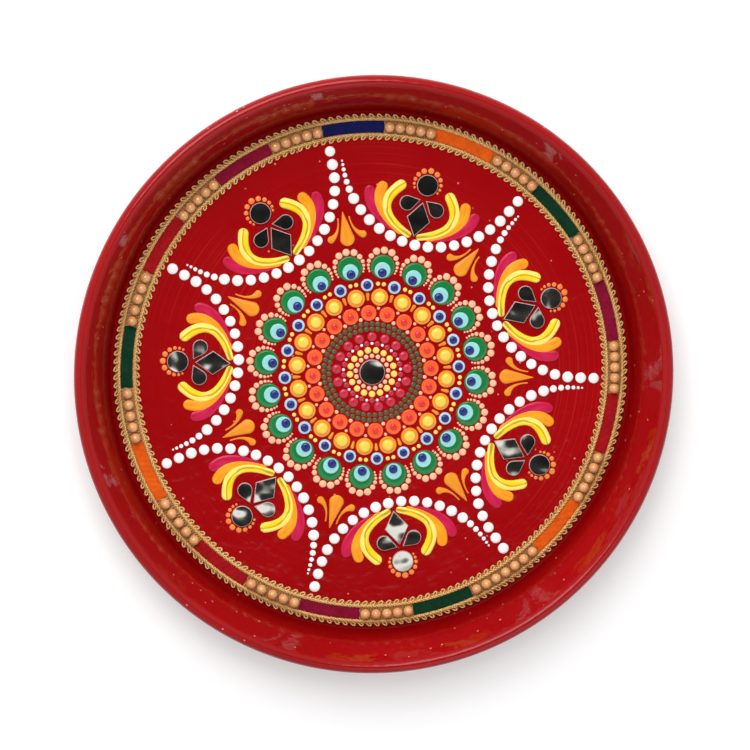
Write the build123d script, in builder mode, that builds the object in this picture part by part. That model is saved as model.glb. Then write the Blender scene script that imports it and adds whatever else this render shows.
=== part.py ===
"""Puja thali: a red enamelled steel plate, dressed by hand with mirrors, relief paint and a lace edge.

Millimetres. +Z is up and the origin is at the middle of the underside. Angles are read as on a clock
face seen from above: clockwise from +Y. The pattern is stacked outwards from the middle, so the lace,
the floor and the rim follow what lies inside them.
"""

from build123d import *

import os
from math import acos, asin, cos, degrees, pi, radians, sin, tan

os.makedirs("parts", exist_ok=True)

# Pressed steel plate
sheet = 0.8
plate_height = 27.0
corner_radius = 2.4
wall_flare_angle = 24.0
bead_diameter = 6.0
curl_angle = 290.0
floor_margin = 0.365

# Relief paint: how far it stands up, and how near two touches of the brush may lie
dot_rise_share = 0.24
disc_rise = 0.8
disc_slope = 0.3
upper_disc_rise = 0.5
stroke_rise = 0.9
paint_gap = 0.15

# Rosette round the middle mirror
rosette_count = 17
salmon_ring_diameter = 2.2
salmon_ring_gap = 0.6
lemon_ring_diameter = 3.1
small_raspberry_diameter = 2.6
small_raspberry_gap = 0.25
speck_diameter = 1.4
raspberry_diameter = 4.6
raspberry_gap = 0.2
olive_diameter = 2.35
olive_gap = 0.2
olive_pitch = 2.7

# Rings of twenty: orange and amber dots, small blue eyes and green peacock eyes
eye_count = 20
first_eye_angle = 5.8
inner_speck_diameter = 1.9
orange_diameter = 7.5
orange_gap = 0.15
red_top_diameter = 3.0
outer_speck_diameter = 1.5
speck_sink = 0.6
amber_diameter = 8.3
amber_gap = 0.3
yellow_top_diameter = 5.6
tick_width = 1.8
tick_length = 4.2
blue_eye_diameter = 6.0
blue_eye_gap = 0.6
blue_pupil_diameter = 3.8
lemon_pair_diameter = 2.0
lemon_pair_gap = 0.75
lemon_pair_step = 1.15
green_eye_diameter = 11.7
green_eye_gap = 1.35
turquoise_diameter = 7.6
green_pupil_diameter = 4.3
halo_diameter = 3.5
halo_gap = 0.25
halo_shares = (1.0, 1.0, 0.74, 0.57, 0.43, 0.34, 0.29)

# White scallops, one round each mirror flower
flower_count = 7
first_flower_angle = 15.3
white_diameter = 5.1
white_gap = 1.15
scallop_gap = 0.9
spike_run = 8.4
full_row_offset = 0.6
taper_row_offset = 4.2
taper_gap = 0.6
taper_shares = (0.66, 0.56, 0.46, 0.38, 0.29, 0.2)

# Mirrors
mirror_thickness = 1.5
mirror_bevel = 0.3
middle_mirror_diameter = 12.0
flower_base_gap = 1.35
diamond_length = 16.5
diamond_width = 11.3
drop_length = 10.2
drop_width = 7.1
drop_heading = 118.0
drop_spacing = 2.6
drop_tip_gap = 1.05
round_mirror_diameter = 10.0
round_mirror_gap = 3.25

# Orange beads over the outer side of each round mirror
bead_dot_diameter = 3.0
bead_dot_gap = 0.5
bead_dot_shares = (1.0, 0.9, 0.76, 0.62, 0.5, 0.4)

# Petal strokes on both sides of a flower. Points are shares of the drops' reach and the flower's height.
petal_head_width = 4.5
petal_tail_width = 1.8
petal_swell_share = 0.75
yellow_petal_shares = ((0.26, 0.15), (1.48, 0.47), (1.12, 0.9))
amber_petal_shares = ((0.66, 0.17), (1.72, 0.45), (1.9, 0.8))
crimson_petal_shares = ((0.96, 0.19), (2.0, 0.41), (2.4, 0.68))

# Leaf trio under each white spike
leaf_gap = 1.0
leaf_length = 16.1
leaf_width = 7.0
comma_spread = 7.6
comma_head_width = 3.5
comma_head_lift = 2.6
comma_tail_width = 0.7
comma_tail_gap = 2.7
comma_bow_share = 0.3
comma_bend_share = 0.36
comma_swell_share = 0.2

# Lace: net ribbon, two looped braids, velvet strips and pearls
lace_gap = 0.9
braid_overhang = 1.2
ribbon_thickness = 0.4
braid_width = 3.4
braid_height = 1.5
braid_loop_pitch = 4.1
braid_loop_rise = 1.5
velvet_width = 5.5
velvet_thickness = 0.9
velvet_length = 29.0
velvet_gap = 0.1
pearl_diameter = 4.6
pearl_gap = 0.3
pearl_seat = 0.15
velvet_colours = (
    "navy", "orange", "green", "wine", "red", "orange", "green",
    "wine", "red", "orange", "green", "red", "wine",
)
velvet_angles = (
    355.6, 22.2, 49.1, 75.8, 102.7, 130.0, 163.0, 190.2, 218.5, 246.5, 274.1, 301.7, 328.4,
)

floor_plane = Plane.XY.offset(sheet)
on_floor = (Align.CENTER, Align.CENTER, Align.MIN)


def ring_radius(reach, gap, diameter, count, neighbour=None):
    """Radius of a ring of dots that clears what lies inside it and leaves room between neighbours."""
    step = (diameter + (neighbour or diameter)) / 2 + paint_gap
    return max(reach + gap + diameter / 2, step / (2 * sin(pi / count)))


def ring(count, first_angle):
    """Turned copies about the middle: in each, +Y points outwards and +X clockwise."""
    return PolarLocations(0, count, start_angle=-first_angle)


def paint_dot(diameter):
    """One domed dot of relief paint."""
    rise = dot_rise_share * diameter
    radius = (diameter**2 / 4 + rise**2) / (2 * rise)
    Sphere(radius, arc_size1=degrees(asin(1 - rise / radius)), align=on_floor)


def paint_disc(diameter, rise):
    """One flat-topped disc of paint, which carries a smaller dot of another colour."""
    Cone(diameter / 2, diameter / 2 - disc_slope, rise, align=on_floor)


def graded_arc(inner_diameter, gap, diameters):
    """Places of dots that lean on a round piece, from its outer side down both of its flanks."""
    angle = 0
    places = [(0, diameters[0])]
    for before, after in zip(diameters, diameters[1:]):
        near = inner_diameter / 2 + gap + before / 2
        far = inner_diameter / 2 + gap + after / 2
        between = (before + after) / 2 + gap
        angle += degrees(acos((near**2 + far**2 - between**2) / (2 * near * far)))
        places += [(angle, after), (-angle, after)]
    return places


def arc_dots(inner_diameter, gap, diameters):
    """The dots of a graded arc, round the place where it is called."""
    for angle, diameter in graded_arc(inner_diameter, gap, diameters):
        distance = inner_diameter / 2 + gap + diameter / 2
        with Locations((distance * sin(radians(angle)), distance * cos(radians(angle)))):
            paint_dot(diameter)


def teardrop(tip, heading, length, width):
    """Face of a drop: a point at the tip and a round end on the given heading."""
    along = Vector(0, 1).rotate(Axis.Z, -heading)
    middle = length - width / 2
    half_angle = degrees(asin(width / 2 / middle))
    side = middle * cos(radians(half_angle))
    left = tip + along.rotate(Axis.Z, half_angle) * side
    right = tip + along.rotate(Axis.Z, -half_angle) * side
    with BuildLine() as outline:
        Line(tip, left)
        ThreePointArc(left, tip + along * length, right)
        Line(right, tip)
    make_face(outline.edges())


def brush_stroke(start, middle, end, tail_width, head_width, swell_share, mode=Mode.ADD):
    """Face of a comma stroke: a thin tail that swells along an arc into a round head."""
    line = ThreePointArc(start, middle, end, mode=Mode.PRIVATE)
    widths = (tail_width, tail_width + swell_share * (head_width - tail_width), head_width)
    sides = []
    for share, width in zip((0, 1 / 2, 1), widths):
        across = line.tangent_at(share).rotate(Axis.Z, 90) * (width / 2)
        sides.append((line.position_at(share) + across, line.position_at(share) - across))
    tail_end = line.position_at(0) - line.tangent_at(0) * (tail_width / 2)
    head_end = line.position_at(1) + line.tangent_at(1) * (head_width / 2)
    with BuildLine() as outline:
        ThreePointArc(sides[0][0], sides[1][0], sides[2][0])
        ThreePointArc(sides[2][0], head_end, sides[2][1])
        ThreePointArc(sides[2][1], sides[1][1], sides[0][1])
        ThreePointArc(sides[0][1], tail_end, sides[0][0])
    make_face(outline.edges(), mode=mode)


def keep(name, part):
    """Label a finished piece and write it."""
    part.label = name
    export_step(part, f"parts/{name}.step")


# Rosette radii, from the middle mirror outwards
salmon_radius = ring_radius(
    middle_mirror_diameter / 2, salmon_ring_gap, salmon_ring_diameter, rosette_count
)
lemon_radius = ring_radius(
    salmon_radius + salmon_ring_diameter / 2, paint_gap, lemon_ring_diameter, rosette_count
)
small_raspberry_radius = ring_radius(
    lemon_radius + lemon_ring_diameter / 2,
    small_raspberry_gap,
    small_raspberry_diameter,
    2 * rosette_count,
    neighbour=speck_diameter,
)
raspberry_radius = ring_radius(
    small_raspberry_radius + speck_diameter / 2, raspberry_gap, raspberry_diameter, rosette_count
)
inner_olive_radius = raspberry_radius + raspberry_diameter / 2 + olive_gap + olive_diameter / 2
outer_olive_radius = inner_olive_radius + olive_diameter + paint_gap

# Radii of the rings of twenty
eye_step = 360 / eye_count
first_orange_angle = first_eye_angle + eye_step / 2
olive_reach = outer_olive_radius + olive_diameter / 2
orange_radius = ring_radius(olive_reach, orange_gap, orange_diameter, eye_count)
inner_speck_radius = olive_reach + orange_gap + inner_speck_diameter / 2
orange_reach = orange_radius + orange_diameter / 2
outer_speck_radius = orange_reach - speck_sink - outer_speck_diameter / 2
amber_radius = ring_radius(
    outer_speck_radius + outer_speck_diameter / 2, amber_gap, amber_diameter, eye_count
)
amber_reach = amber_radius + amber_diameter / 2
tick_reach = max(orange_reach, amber_radius - tick_length / 2) + tick_length
blue_eye_radius = ring_radius(tick_reach, blue_eye_gap, blue_eye_diameter, eye_count)
lemon_pair_radius = amber_reach + lemon_pair_step + lemon_pair_diameter / 2
green_eye_radius = ring_radius(
    lemon_pair_radius + lemon_pair_diameter / 2, green_eye_gap, green_eye_diameter, eye_count
)
halo_reach = green_eye_radius + green_eye_diameter / 2 + halo_gap + halo_diameter

# Scallop: an arc between two rows that run beside the spikes, with its lowest point over the haloes
spike_angle = 180 / flower_count
spike_sine = sin(radians(spike_angle))
spike_cosine = cos(radians(spike_angle))
scallop_bottom = halo_reach + scallop_gap + white_diameter / 2
apex = Vector(
    (taper_row_offset - full_row_offset) / (2 * spike_cosine),
    (taper_row_offset + full_row_offset) / (2 * spike_sine),
)
scallop_radius = (scallop_bottom - apex.Y) / (1 / spike_sine - 1)
row_run = scallop_radius / tan(radians(spike_angle)) + spike_run
right_row = Vector(spike_sine, spike_cosine)
left_row = Vector(-spike_sine, spike_cosine)
spike_reach = (apex + right_row * row_run).length + white_diameter / 2

# Flower heights, counted from the lowest point of its scallop
diamond_base = white_diameter / 2 + flower_base_gap
drop_tip_height = diamond_base + diamond_length + drop_tip_gap
round_mirror_height = diamond_base + diamond_length + round_mirror_gap + round_mirror_diameter / 2
drop_middle_run = drop_length - drop_width / 2
drop_reach = drop_spacing / 2 + drop_middle_run * sin(radians(drop_heading)) + drop_width / 2

# Lace and plate radii
braid_radius = spike_reach + lace_gap
velvet_radius = braid_radius + braid_width + velvet_gap
outer_braid_radius = velvet_radius + velvet_width + velvet_gap
lace_reach = outer_braid_radius + braid_width
pearl_radius = velvet_radius + velvet_width / 2
floor_radius = lace_reach + floor_margin
lace_plane = floor_plane.offset(ribbon_thickness)

# Dish: one revolved sheet, from the middle of the base up the wall and round the hollow bead
curl_radius = bead_diameter / 2 - sheet
wall_sine = cos(radians(wall_flare_angle))
wall_cosine = sin(radians(wall_flare_angle))
corner_height = corner_radius * (1 - wall_cosine)
bead_height = plate_height - bead_diameter / 2 + curl_radius * wall_cosine
wall_length = (bead_height - corner_height) / wall_sine


def plate_face(height, corner, curl):
    """One face of the sheet, as a line from the axis along the floor, up the wall and round the bead."""
    floor = Line((0, height), (floor_radius, height))
    bend = JernArc(floor @ 1, floor % 1, corner, 90 - wall_flare_angle)
    wall = Line(bend @ 1, bend @ 1 + bend % 1 * wall_length)
    lip = JernArc(wall @ 1, wall % 1, curl, -curl_angle)
    return floor @ 0, lip @ 1


with BuildPart() as dish:
    with BuildSketch(Plane.XZ):
        with BuildLine():
            under_start, under_end = plate_face(0, corner_radius, curl_radius)
            upper_start, upper_end = plate_face(sheet, corner_radius - sheet, curl_radius + sheet)
            Line(under_start, upper_start)
            Line(under_end, upper_end)
        make_face()
    revolve(axis=Axis.Z)
keep("dish", dish.part)
print("overall diameter", round(dish.part.bounding_box().size.X, 2))

# Lace: the net ribbon that is glued to the floor, narrower than the braids that overhang its edges
with BuildPart(floor_plane) as trim_ribbon:
    with BuildSketch(floor_plane):
        Circle(lace_reach - braid_overhang)
        Circle(braid_radius + braid_overhang, mode=Mode.SUBTRACT)
    extrude(amount=ribbon_thickness)
keep("trim_ribbon", trim_ribbon.part)


def loop_outline(valley_radius, peak_radius):
    """Face inside a ring of round loops, which stand out from the valleys between them."""
    loop_count = int(2 * pi * valley_radius / braid_loop_pitch)
    half_step = Vector(0, 1).rotate(Axis.Z, -180 / loop_count)
    valley = half_step * valley_radius
    peak = Vector(0, 1).rotate(Axis.Z, -360 / loop_count) * peak_radius
    with BuildLine() as outline:
        for index in range(loop_count):
            turn = -360 * index / loop_count
            ThreePointArc(
                valley.rotate(Axis.Z, turn),
                peak.rotate(Axis.Z, turn),
                valley.rotate(Axis.Z, turn - 360 / loop_count),
            )
    return outline.edges()


# Lace: two looped gold braids, with their loops towards the middle and towards the wall
with BuildPart() as inner_braid:
    with BuildSketch(lace_plane):
        Circle(braid_radius + braid_width)
        make_face(loop_outline(braid_radius + braid_loop_rise, braid_radius), mode=Mode.SUBTRACT)
    extrude(amount=braid_height)
with BuildPart() as outer_braid:
    with BuildSketch(lace_plane):
        make_face(loop_outline(lace_reach - braid_loop_rise, lace_reach))
        Circle(outer_braid_radius, mode=Mode.SUBTRACT)
    extrude(amount=braid_height)
keep("inner_braid", inner_braid.part)
keep("outer_braid", outer_braid.part)

# Lace: velvet strips, one node for each colour
velvet_arc = degrees(velvet_length / pearl_radius)
for colour in dict.fromkeys(velvet_colours):
    with BuildPart() as velvet:
        with BuildSketch(lace_plane):
            for strip_colour, angle in zip(velvet_colours, velvet_angles):
                if strip_colour != colour:
                    continue
                with BuildLine():
                    start = 90 - angle - velvet_arc / 2
                    inside = CenterArc((0, 0), velvet_radius, start, velvet_arc)
                    outside = CenterArc((0, 0), velvet_radius + velvet_width, start, velvet_arc)
                    Line(inside @ 0, outside @ 0)
                    Line(inside @ 1, outside @ 1)
                make_face()
        extrude(amount=velvet_thickness)
    keep(f"velvet_{colour}", velvet.part)

# Lace: pearls, as many between two velvet strips as the run holds, on small flat seats
pearl_places = []
for angle, next_angle in zip(velvet_angles, velvet_angles[1:] + velvet_angles[:1]):
    run_angle = (next_angle - angle) % 360 - velvet_arc
    run_count = int(radians(run_angle) * pearl_radius / (pearl_diameter + pearl_gap))
    for index in range(run_count):
        turn = angle + velvet_arc / 2 + run_angle * (index + 1 / 2) / run_count
        pearl_places.append((pearl_radius * sin(radians(turn)), pearl_radius * cos(radians(turn))))
seat_latitude = -degrees(asin(1 - pearl_seat / (pearl_diameter / 2)))
with BuildPart(lace_plane) as pearls:
    with Locations(*pearl_places):
        Sphere(pearl_diameter / 2, arc_size1=seat_latitude, align=on_floor)
keep("pearls", pearls.part)

# Mirrors: one round mirror in the middle of the plate
with BuildPart() as middle_mirror:
    with BuildSketch(floor_plane):
        Circle(middle_mirror_diameter / 2)
    extrude(amount=mirror_thickness)
    chamfer(middle_mirror.edges().group_by(Axis.Z)[-1], mirror_bevel)
keep("middle_mirror", middle_mirror.part)

# Mirrors: seven flowers, each a diamond, two drops and a round one, cut and bevelled singly
for index in range(flower_count):
    flower_turn = first_flower_angle + index * 2 * spike_angle
    flower_axis = Vector(0, 1).rotate(Axis.Z, -flower_turn)
    flower_across = Vector(1, 0).rotate(Axis.Z, -flower_turn)
    flower_foot = flower_across * apex.X + flower_axis * scallop_bottom + floor_plane.origin
    flower_plane = Plane(flower_foot, x_dir=flower_across, z_dir=(0, 0, 1))
    number = index + 1

    with BuildPart() as diamond:
        with BuildSketch(flower_plane):
            with Locations((0, diamond_base + diamond_length / 2)):
                Polygon(
                    (0, -diamond_length / 2),
                    (diamond_width / 2, 0),
                    (0, diamond_length / 2),
                    (-diamond_width / 2, 0),
                    align=None,
                )
        extrude(amount=mirror_thickness)
        chamfer(diamond.edges().group_by(Axis.Z)[-1], mirror_bevel)
    keep(f"diamond_mirror_{number}", diamond.part)

    for side_name, side in (("left", -1), ("right", 1)):
        with BuildPart() as drop:
            with BuildSketch(flower_plane):
                drop_tip = Vector(side * drop_spacing / 2, drop_tip_height)
                teardrop(drop_tip, side * drop_heading, drop_length, drop_width)
            extrude(amount=mirror_thickness)
            chamfer(drop.edges().group_by(Axis.Z)[-1], mirror_bevel)
        keep(f"drop_mirror_{side_name}_{number}", drop.part)

    with BuildPart() as round_mirror:
        with BuildSketch(flower_plane):
            with Locations((0, round_mirror_height)):
                Circle(round_mirror_diameter / 2)
        extrude(amount=mirror_thickness)
        chamfer(round_mirror.edges().group_by(Axis.Z)[-1], mirror_bevel)
    keep(f"round_mirror_{number}", round_mirror.part)

# White paint: specks of the rosette, and the scallops with one full row and one that dwindles
with BuildLine() as scallop:
    FilletPolyline(
        apex + right_row * row_run, apex, apex + left_row * row_run, radius=scallop_radius
    )
taper_diameters = [white_diameter] + [share * white_diameter for share in taper_shares]
taper_steps = [
    (before + after) / 2 + taper_gap for before, after in zip(taper_diameters, taper_diameters[1:])
]
white_pitch = white_diameter + white_gap
full_count = int((scallop.wire().length - sum(taper_steps)) / white_pitch) + 1
full_places = [
    scallop.wire().position_at(index * white_pitch, PositionMode.LENGTH) for index in range(full_count)
]
with BuildPart(floor_plane) as white_dots:
    with ring(rosette_count, 0):
        with Locations((0, small_raspberry_radius)):
            paint_dot(speck_diameter)
    with ring(flower_count, first_flower_angle):
        with Locations(*full_places):
            paint_dot(white_diameter)
        run = (full_count - 1) * white_pitch
        for diameter, step in zip(taper_diameters[1:], taper_steps):
            run += step
            with Locations(scallop.wire().position_at(run, PositionMode.LENGTH)):
                paint_dot(diameter)
keep("white_dots", white_dots.part)

# Salmon paint: ring round the middle mirror, and specks on both sides of the orange dots
with BuildPart(floor_plane) as salmon_dots:
    with ring(rosette_count, 0):
        with Locations((0, salmon_radius)):
            paint_dot(salmon_ring_diameter)
    with ring(eye_count, first_eye_angle):
        with Locations((0, inner_speck_radius)):
            paint_dot(inner_speck_diameter)
        with Locations((0, outer_speck_radius)):
            paint_dot(outer_speck_diameter)
keep("salmon_dots", salmon_dots.part)

# Salmon paint: the graded halo over the outer side of each peacock eye
with BuildPart(floor_plane) as halo_dots:
    with ring(eye_count, first_eye_angle):
        with Locations((0, green_eye_radius)):
            arc_dots(green_eye_diameter, halo_gap, [share * halo_diameter for share in halo_shares])
keep("halo_dots", halo_dots.part)

# Lemon paint: a ring of the rosette, and a pair of small dots under each peacock eye
pair_shift = (lemon_pair_diameter + lemon_pair_gap) / 2
with BuildPart(floor_plane) as lemon_dots:
    with ring(rosette_count, 180 / rosette_count):
        with Locations((0, lemon_radius)):
            paint_dot(lemon_ring_diameter)
    with ring(eye_count, first_eye_angle):
        with Locations((-pair_shift, lemon_pair_radius), (pair_shift, lemon_pair_radius)):
            paint_dot(lemon_pair_diameter)
keep("lemon_dots", lemon_dots.part)

# Raspberry paint: small dots between the white specks, large dots outside the specks
with BuildPart(floor_plane) as raspberry_dots:
    with ring(rosette_count, 180 / rosette_count):
        with Locations((0, small_raspberry_radius)):
            paint_dot(small_raspberry_diameter)
    with ring(rosette_count, 0):
        with Locations((0, raspberry_radius)):
            paint_dot(raspberry_diameter)
keep("raspberry_dots", raspberry_dots.part)

# Olive paint: two rings of beads round the rosette
with BuildPart(floor_plane) as olive_beads:
    for radius in (inner_olive_radius, outer_olive_radius):
        with ring(int(2 * pi * radius / olive_pitch), 0):
            with Locations((0, radius)):
                paint_dot(olive_diameter)
keep("olive_beads", olive_beads.part)

# Orange discs and the red dots on top of them
with BuildPart(floor_plane) as orange_dots:
    with ring(eye_count, first_orange_angle):
        with Locations((0, orange_radius)):
            paint_disc(orange_diameter, disc_rise)
keep("orange_dots", orange_dots.part)
disc_top = floor_plane.offset(disc_rise)
with BuildPart(disc_top) as red_tops:
    with ring(eye_count, first_orange_angle):
        with Locations((0, orange_radius)):
            paint_dot(red_top_diameter)
keep("red_tops", red_tops.part)

# Amber discs and the yellow domes on top of them
with BuildPart(floor_plane) as amber_dots:
    with ring(eye_count, first_eye_angle):
        with Locations((0, amber_radius)):
            paint_disc(amber_diameter, disc_rise)
keep("amber_dots", amber_dots.part)
with BuildPart(disc_top) as yellow_tops:
    with ring(eye_count, first_eye_angle):
        with Locations((0, amber_radius)):
            paint_dot(yellow_top_diameter)
keep("yellow_tops", yellow_tops.part)

# Eyes: pale rims and green discs on the floor, turquoise discs on the green ones
with BuildPart(floor_plane) as blue_eye_rims:
    with ring(eye_count, first_orange_angle):
        with Locations((0, blue_eye_radius)):
            paint_disc(blue_eye_diameter, disc_rise)
keep("blue_eye_rims", blue_eye_rims.part)
with BuildPart(floor_plane) as green_eyes:
    with ring(eye_count, first_eye_angle):
        with Locations((0, green_eye_radius)):
            paint_disc(green_eye_diameter, disc_rise)
keep("green_eyes", green_eyes.part)
turquoise_sink = (green_eye_diameter - turquoise_diameter) / 2 - disc_slope - paint_gap
turquoise_radius = green_eye_radius - turquoise_sink
with BuildPart(disc_top) as turquoise_eyes:
    with ring(eye_count, first_eye_angle):
        with Locations((0, turquoise_radius)):
            paint_disc(turquoise_diameter, upper_disc_rise)
keep("turquoise_eyes", turquoise_eyes.part)

# Eyes: navy pupils, on the pale rims and on the turquoise discs
pupil_sink = (turquoise_diameter - green_pupil_diameter) / 2 - disc_slope - paint_gap
with BuildPart(disc_top) as navy_pupils:
    with ring(eye_count, first_orange_angle):
        with Locations((0, blue_eye_radius)):
            paint_dot(blue_pupil_diameter)
    with ring(eye_count, first_eye_angle):
        with Locations((0, turquoise_radius - pupil_sink, upper_disc_rise)):
            paint_dot(green_pupil_diameter)
keep("navy_pupils", navy_pupils.part)

# Orange beads in a graded arc over each round mirror
with BuildPart(floor_plane) as mirror_beads:
    with ring(flower_count, first_flower_angle):
        with Locations((apex.X, scallop_bottom + round_mirror_height)):
            arc_dots(
                round_mirror_diameter, bead_dot_gap, [share * bead_dot_diameter for share in bead_dot_shares]
            )
keep("mirror_beads", mirror_beads.part)

# Petal strokes: yellow ones lie inmost, and each later colour is laid against the one before
petals = {
    "yellow_petals": yellow_petal_shares,
    "amber_petals": amber_petal_shares,
    "crimson_petals": crimson_petal_shares,
}


def petal_pair(shares, mode=Mode.ADD):
    """Two mirrored petal faces, in the flower's own frame."""
    for side in (-1, 1):
        points = [Vector(side * x * drop_reach, y * round_mirror_height) for x, y in shares]
        brush_stroke(*points, petal_tail_width, petal_head_width, petal_swell_share, mode=mode)


laid_before = []
for name, shares in petals.items():
    with BuildSketch() as pair:
        petal_pair(shares)
        for earlier in laid_before:
            petal_pair(earlier, mode=Mode.SUBTRACT)
    laid_before.append(shares)
    with BuildPart(floor_plane) as petal:
        with BuildSketch(floor_plane):
            with ring(flower_count, first_flower_angle):
                with Locations((apex.X, scallop_bottom)):
                    add(pair.sketch)
        extrude(amount=stroke_rise)
    keep(name, petal.part)

# Ochre strokes: the leaf trio under each spike, and a short stroke between two amber dots
leaf_base = halo_reach + leaf_gap
leaf_tip = leaf_base + leaf_length
comma_head_height = leaf_base + comma_head_lift + comma_head_width / 2
with BuildSketch() as leaf_trio:
    teardrop(Vector(0, leaf_tip), 180, leaf_length, leaf_width)
    for side in (-1, 1):
        tail = Vector(side * comma_tail_gap, leaf_tip - comma_tail_gap)
        head = Vector(side * comma_spread, comma_head_height)
        bow = Vector(
            side * (comma_tail_gap + comma_bow_share * (comma_spread - comma_tail_gap)),
            head.Y + comma_bend_share * (tail.Y - head.Y),
        )
        brush_stroke(tail, bow, head, comma_tail_width, comma_head_width, comma_swell_share)
with BuildPart(floor_plane) as ochre_strokes:
    with BuildSketch(floor_plane):
        with ring(flower_count, first_flower_angle + spike_angle):
            add(leaf_trio.sketch)
        with ring(eye_count, first_orange_angle):
            with Locations((0, tick_reach - tick_length / 2)):
                SlotOverall(tick_length, tick_width, rotation=90)
    extrude(amount=stroke_rise)
keep("ochre_strokes", ochre_strokes.part)
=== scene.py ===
"""Looks of a puja thali: a red enamelled plate, dressed by hand with lace, mirrors and relief paint."""

from math import atan2, cos, exp, hypot, pi, radians, sin, sqrt, tan

import bmesh
import bpy
from mathutils import Matrix, Vector


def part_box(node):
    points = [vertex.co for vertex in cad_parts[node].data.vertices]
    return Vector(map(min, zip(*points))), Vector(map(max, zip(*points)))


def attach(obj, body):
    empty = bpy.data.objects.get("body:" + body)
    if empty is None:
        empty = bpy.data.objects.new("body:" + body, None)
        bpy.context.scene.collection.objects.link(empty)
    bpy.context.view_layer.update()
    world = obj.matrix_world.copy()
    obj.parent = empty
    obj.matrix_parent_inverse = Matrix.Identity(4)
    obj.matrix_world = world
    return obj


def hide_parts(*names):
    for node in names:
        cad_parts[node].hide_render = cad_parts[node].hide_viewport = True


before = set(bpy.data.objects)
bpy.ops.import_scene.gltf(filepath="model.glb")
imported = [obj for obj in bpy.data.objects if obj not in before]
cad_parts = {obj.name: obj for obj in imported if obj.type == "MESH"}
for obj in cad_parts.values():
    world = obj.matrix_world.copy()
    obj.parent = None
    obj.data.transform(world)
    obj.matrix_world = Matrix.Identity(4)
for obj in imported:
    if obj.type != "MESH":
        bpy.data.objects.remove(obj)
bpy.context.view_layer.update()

# Dish: one disc of sheet steel, pressed to a flat floor and a flared wall, with its edge curled outwards
# into a hollow bead. It is sprayed with red enamel and stoved, which leaves a thick glossy skin with some
# orange peel, faint turning marks of the metal and a few pale specks. Dust dulls the gloss at the bend of
# the wall, and a painted shade darkens the red in that band.
sheet = 0.0008
corner_radius = 0.0024
wall_flare = radians(24)
bead_radius = 0.003
curl_angle = radians(290)
dish_steps = 288
corner_steps = 9
curl_steps = 28
curl_inside_steps = 20
weld_gap = 1e-7
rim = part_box("dish")[1]


def arc(middle, radius, start, end, steps):
    """Points of a round stretch of a section, each a distance from the axis and a height."""
    angles = [start + (end - start) * step / steps for step in range(steps + 1)]
    return [(middle[0] + radius * cos(angle), middle[1] + radius * sin(angle)) for angle in angles]


def as_object(name, mesh, sharp_angle=radians(40)):
    """Closes the seams of a bmesh, turns its faces outwards and makes it an object with smooth faces."""
    bmesh.ops.remove_doubles(mesh, verts=mesh.verts, dist=weld_gap)
    bmesh.ops.recalc_face_normals(mesh, faces=mesh.faces)
    for face in mesh.faces:
        face.smooth = True
    for edge in mesh.edges:
        edge.smooth = not edge.is_manifold or edge.calc_face_angle() < sharp_angle
    data = bpy.data.meshes.new(name)
    mesh.to_mesh(data)
    mesh.free()
    made = bpy.data.objects.new(name, data)
    bpy.context.scene.collection.objects.link(made)
    return made


def turned(name, section, steps):
    """A section turned about +Z. Its UV map holds the share of the turn and the way along the section."""
    mesh = bmesh.new()
    uv = mesh.loops.layers.uv.new("turn")
    rings = []
    for radius, height in section:
        if radius == 0:
            rings.append([mesh.verts.new((0, 0, height))] * steps)
            continue
        turns = [2 * pi * step / steps for step in range(steps)]
        rings.append([mesh.verts.new((radius * sin(turn), radius * cos(turn), height)) for turn in turns])
    way = 0
    for index in range(len(section) - 1):
        near, far = rings[index], rings[index + 1]
        next_way = way + (Vector(section[index + 1]) - Vector(section[index])).length
        for step in range(steps):
            after = (step + 1) % steps
            corners = {near[step]: (step, way), near[after]: (step + 1, way)}
            corners |= {far[after]: (step + 1, next_way), far[step]: (step, next_way)}
            face = mesh.faces.new(list(corners))
            for loop, (turn, length) in zip(face.loops, corners.values()):
                loop[uv].uv = (turn / steps, length)
        way = next_way
    return as_object(name, mesh)


corner_inside = corner_radius - sheet
bead_middle = (rim.x - bead_radius, rim.z - bead_radius)
bead_foot_radius = bead_middle[0] - bead_radius * cos(wall_flare)
bead_foot_height = bead_middle[1] + bead_radius * sin(wall_flare)
wall_foot_height = corner_radius - corner_inside * sin(wall_flare)
wall_foot_radius = bead_foot_radius - (bead_foot_height - wall_foot_height) * tan(wall_flare)
floor_radius = wall_foot_radius - corner_inside * cos(wall_flare)
corner_middle = (floor_radius, corner_radius)
curl_start = pi - wall_flare
curl_end = curl_start - curl_angle
dish_section = [(0, sheet)]
dish_section += arc(corner_middle, corner_inside, -pi / 2, -wall_flare, corner_steps)
dish_section += arc(bead_middle, bead_radius, curl_start, curl_end, curl_steps)
dish_section += arc(bead_middle, bead_radius - sheet, curl_end, curl_start, curl_inside_steps)
dish_section += arc(corner_middle, corner_radius, -wall_flare, -pi / 2, corner_steps)
dish_section += [(0, 0)]
enamelled_dish = turned("enamelled_dish", dish_section, dish_steps)


def srgb(red, green, blue):
    """A colour as it is read off a screen, 0 to 255, as the linear values that a shader takes."""
    shares = [value / 255 for value in (red, green, blue)]
    linear = [share / 12.92 if share < 0.04 else ((share + 0.055) / 1.055) ** 2.4 for share in shares]
    return (*linear, 1)


def put(tree, kind, inputs=None, **settings):
    """Adds a node to a tree. Each input, by its name or place, gets a value or a link from another node."""
    made = tree.nodes.new(kind)
    for key, value in settings.items():
        setattr(made, key, value)
    for key, value in (inputs or {}).items():
        if isinstance(value, bpy.types.NodeSocket):
            tree.links.new(value, made.inputs[key])
        else:
            made.inputs[key].default_value = value
    return made


def new_finish(name, **values):
    """A new material. Its even values are set on the sockets of its shader, named with underscores."""
    material = bpy.data.materials.new(name)
    material.use_nodes = True
    shader = material.node_tree.nodes["Principled BSDF"]
    for key, value in values.items():
        shader.inputs[key.replace("_", " ").title().replace("Ior", "IOR")].default_value = value
    return material, material.node_tree, shader


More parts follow.
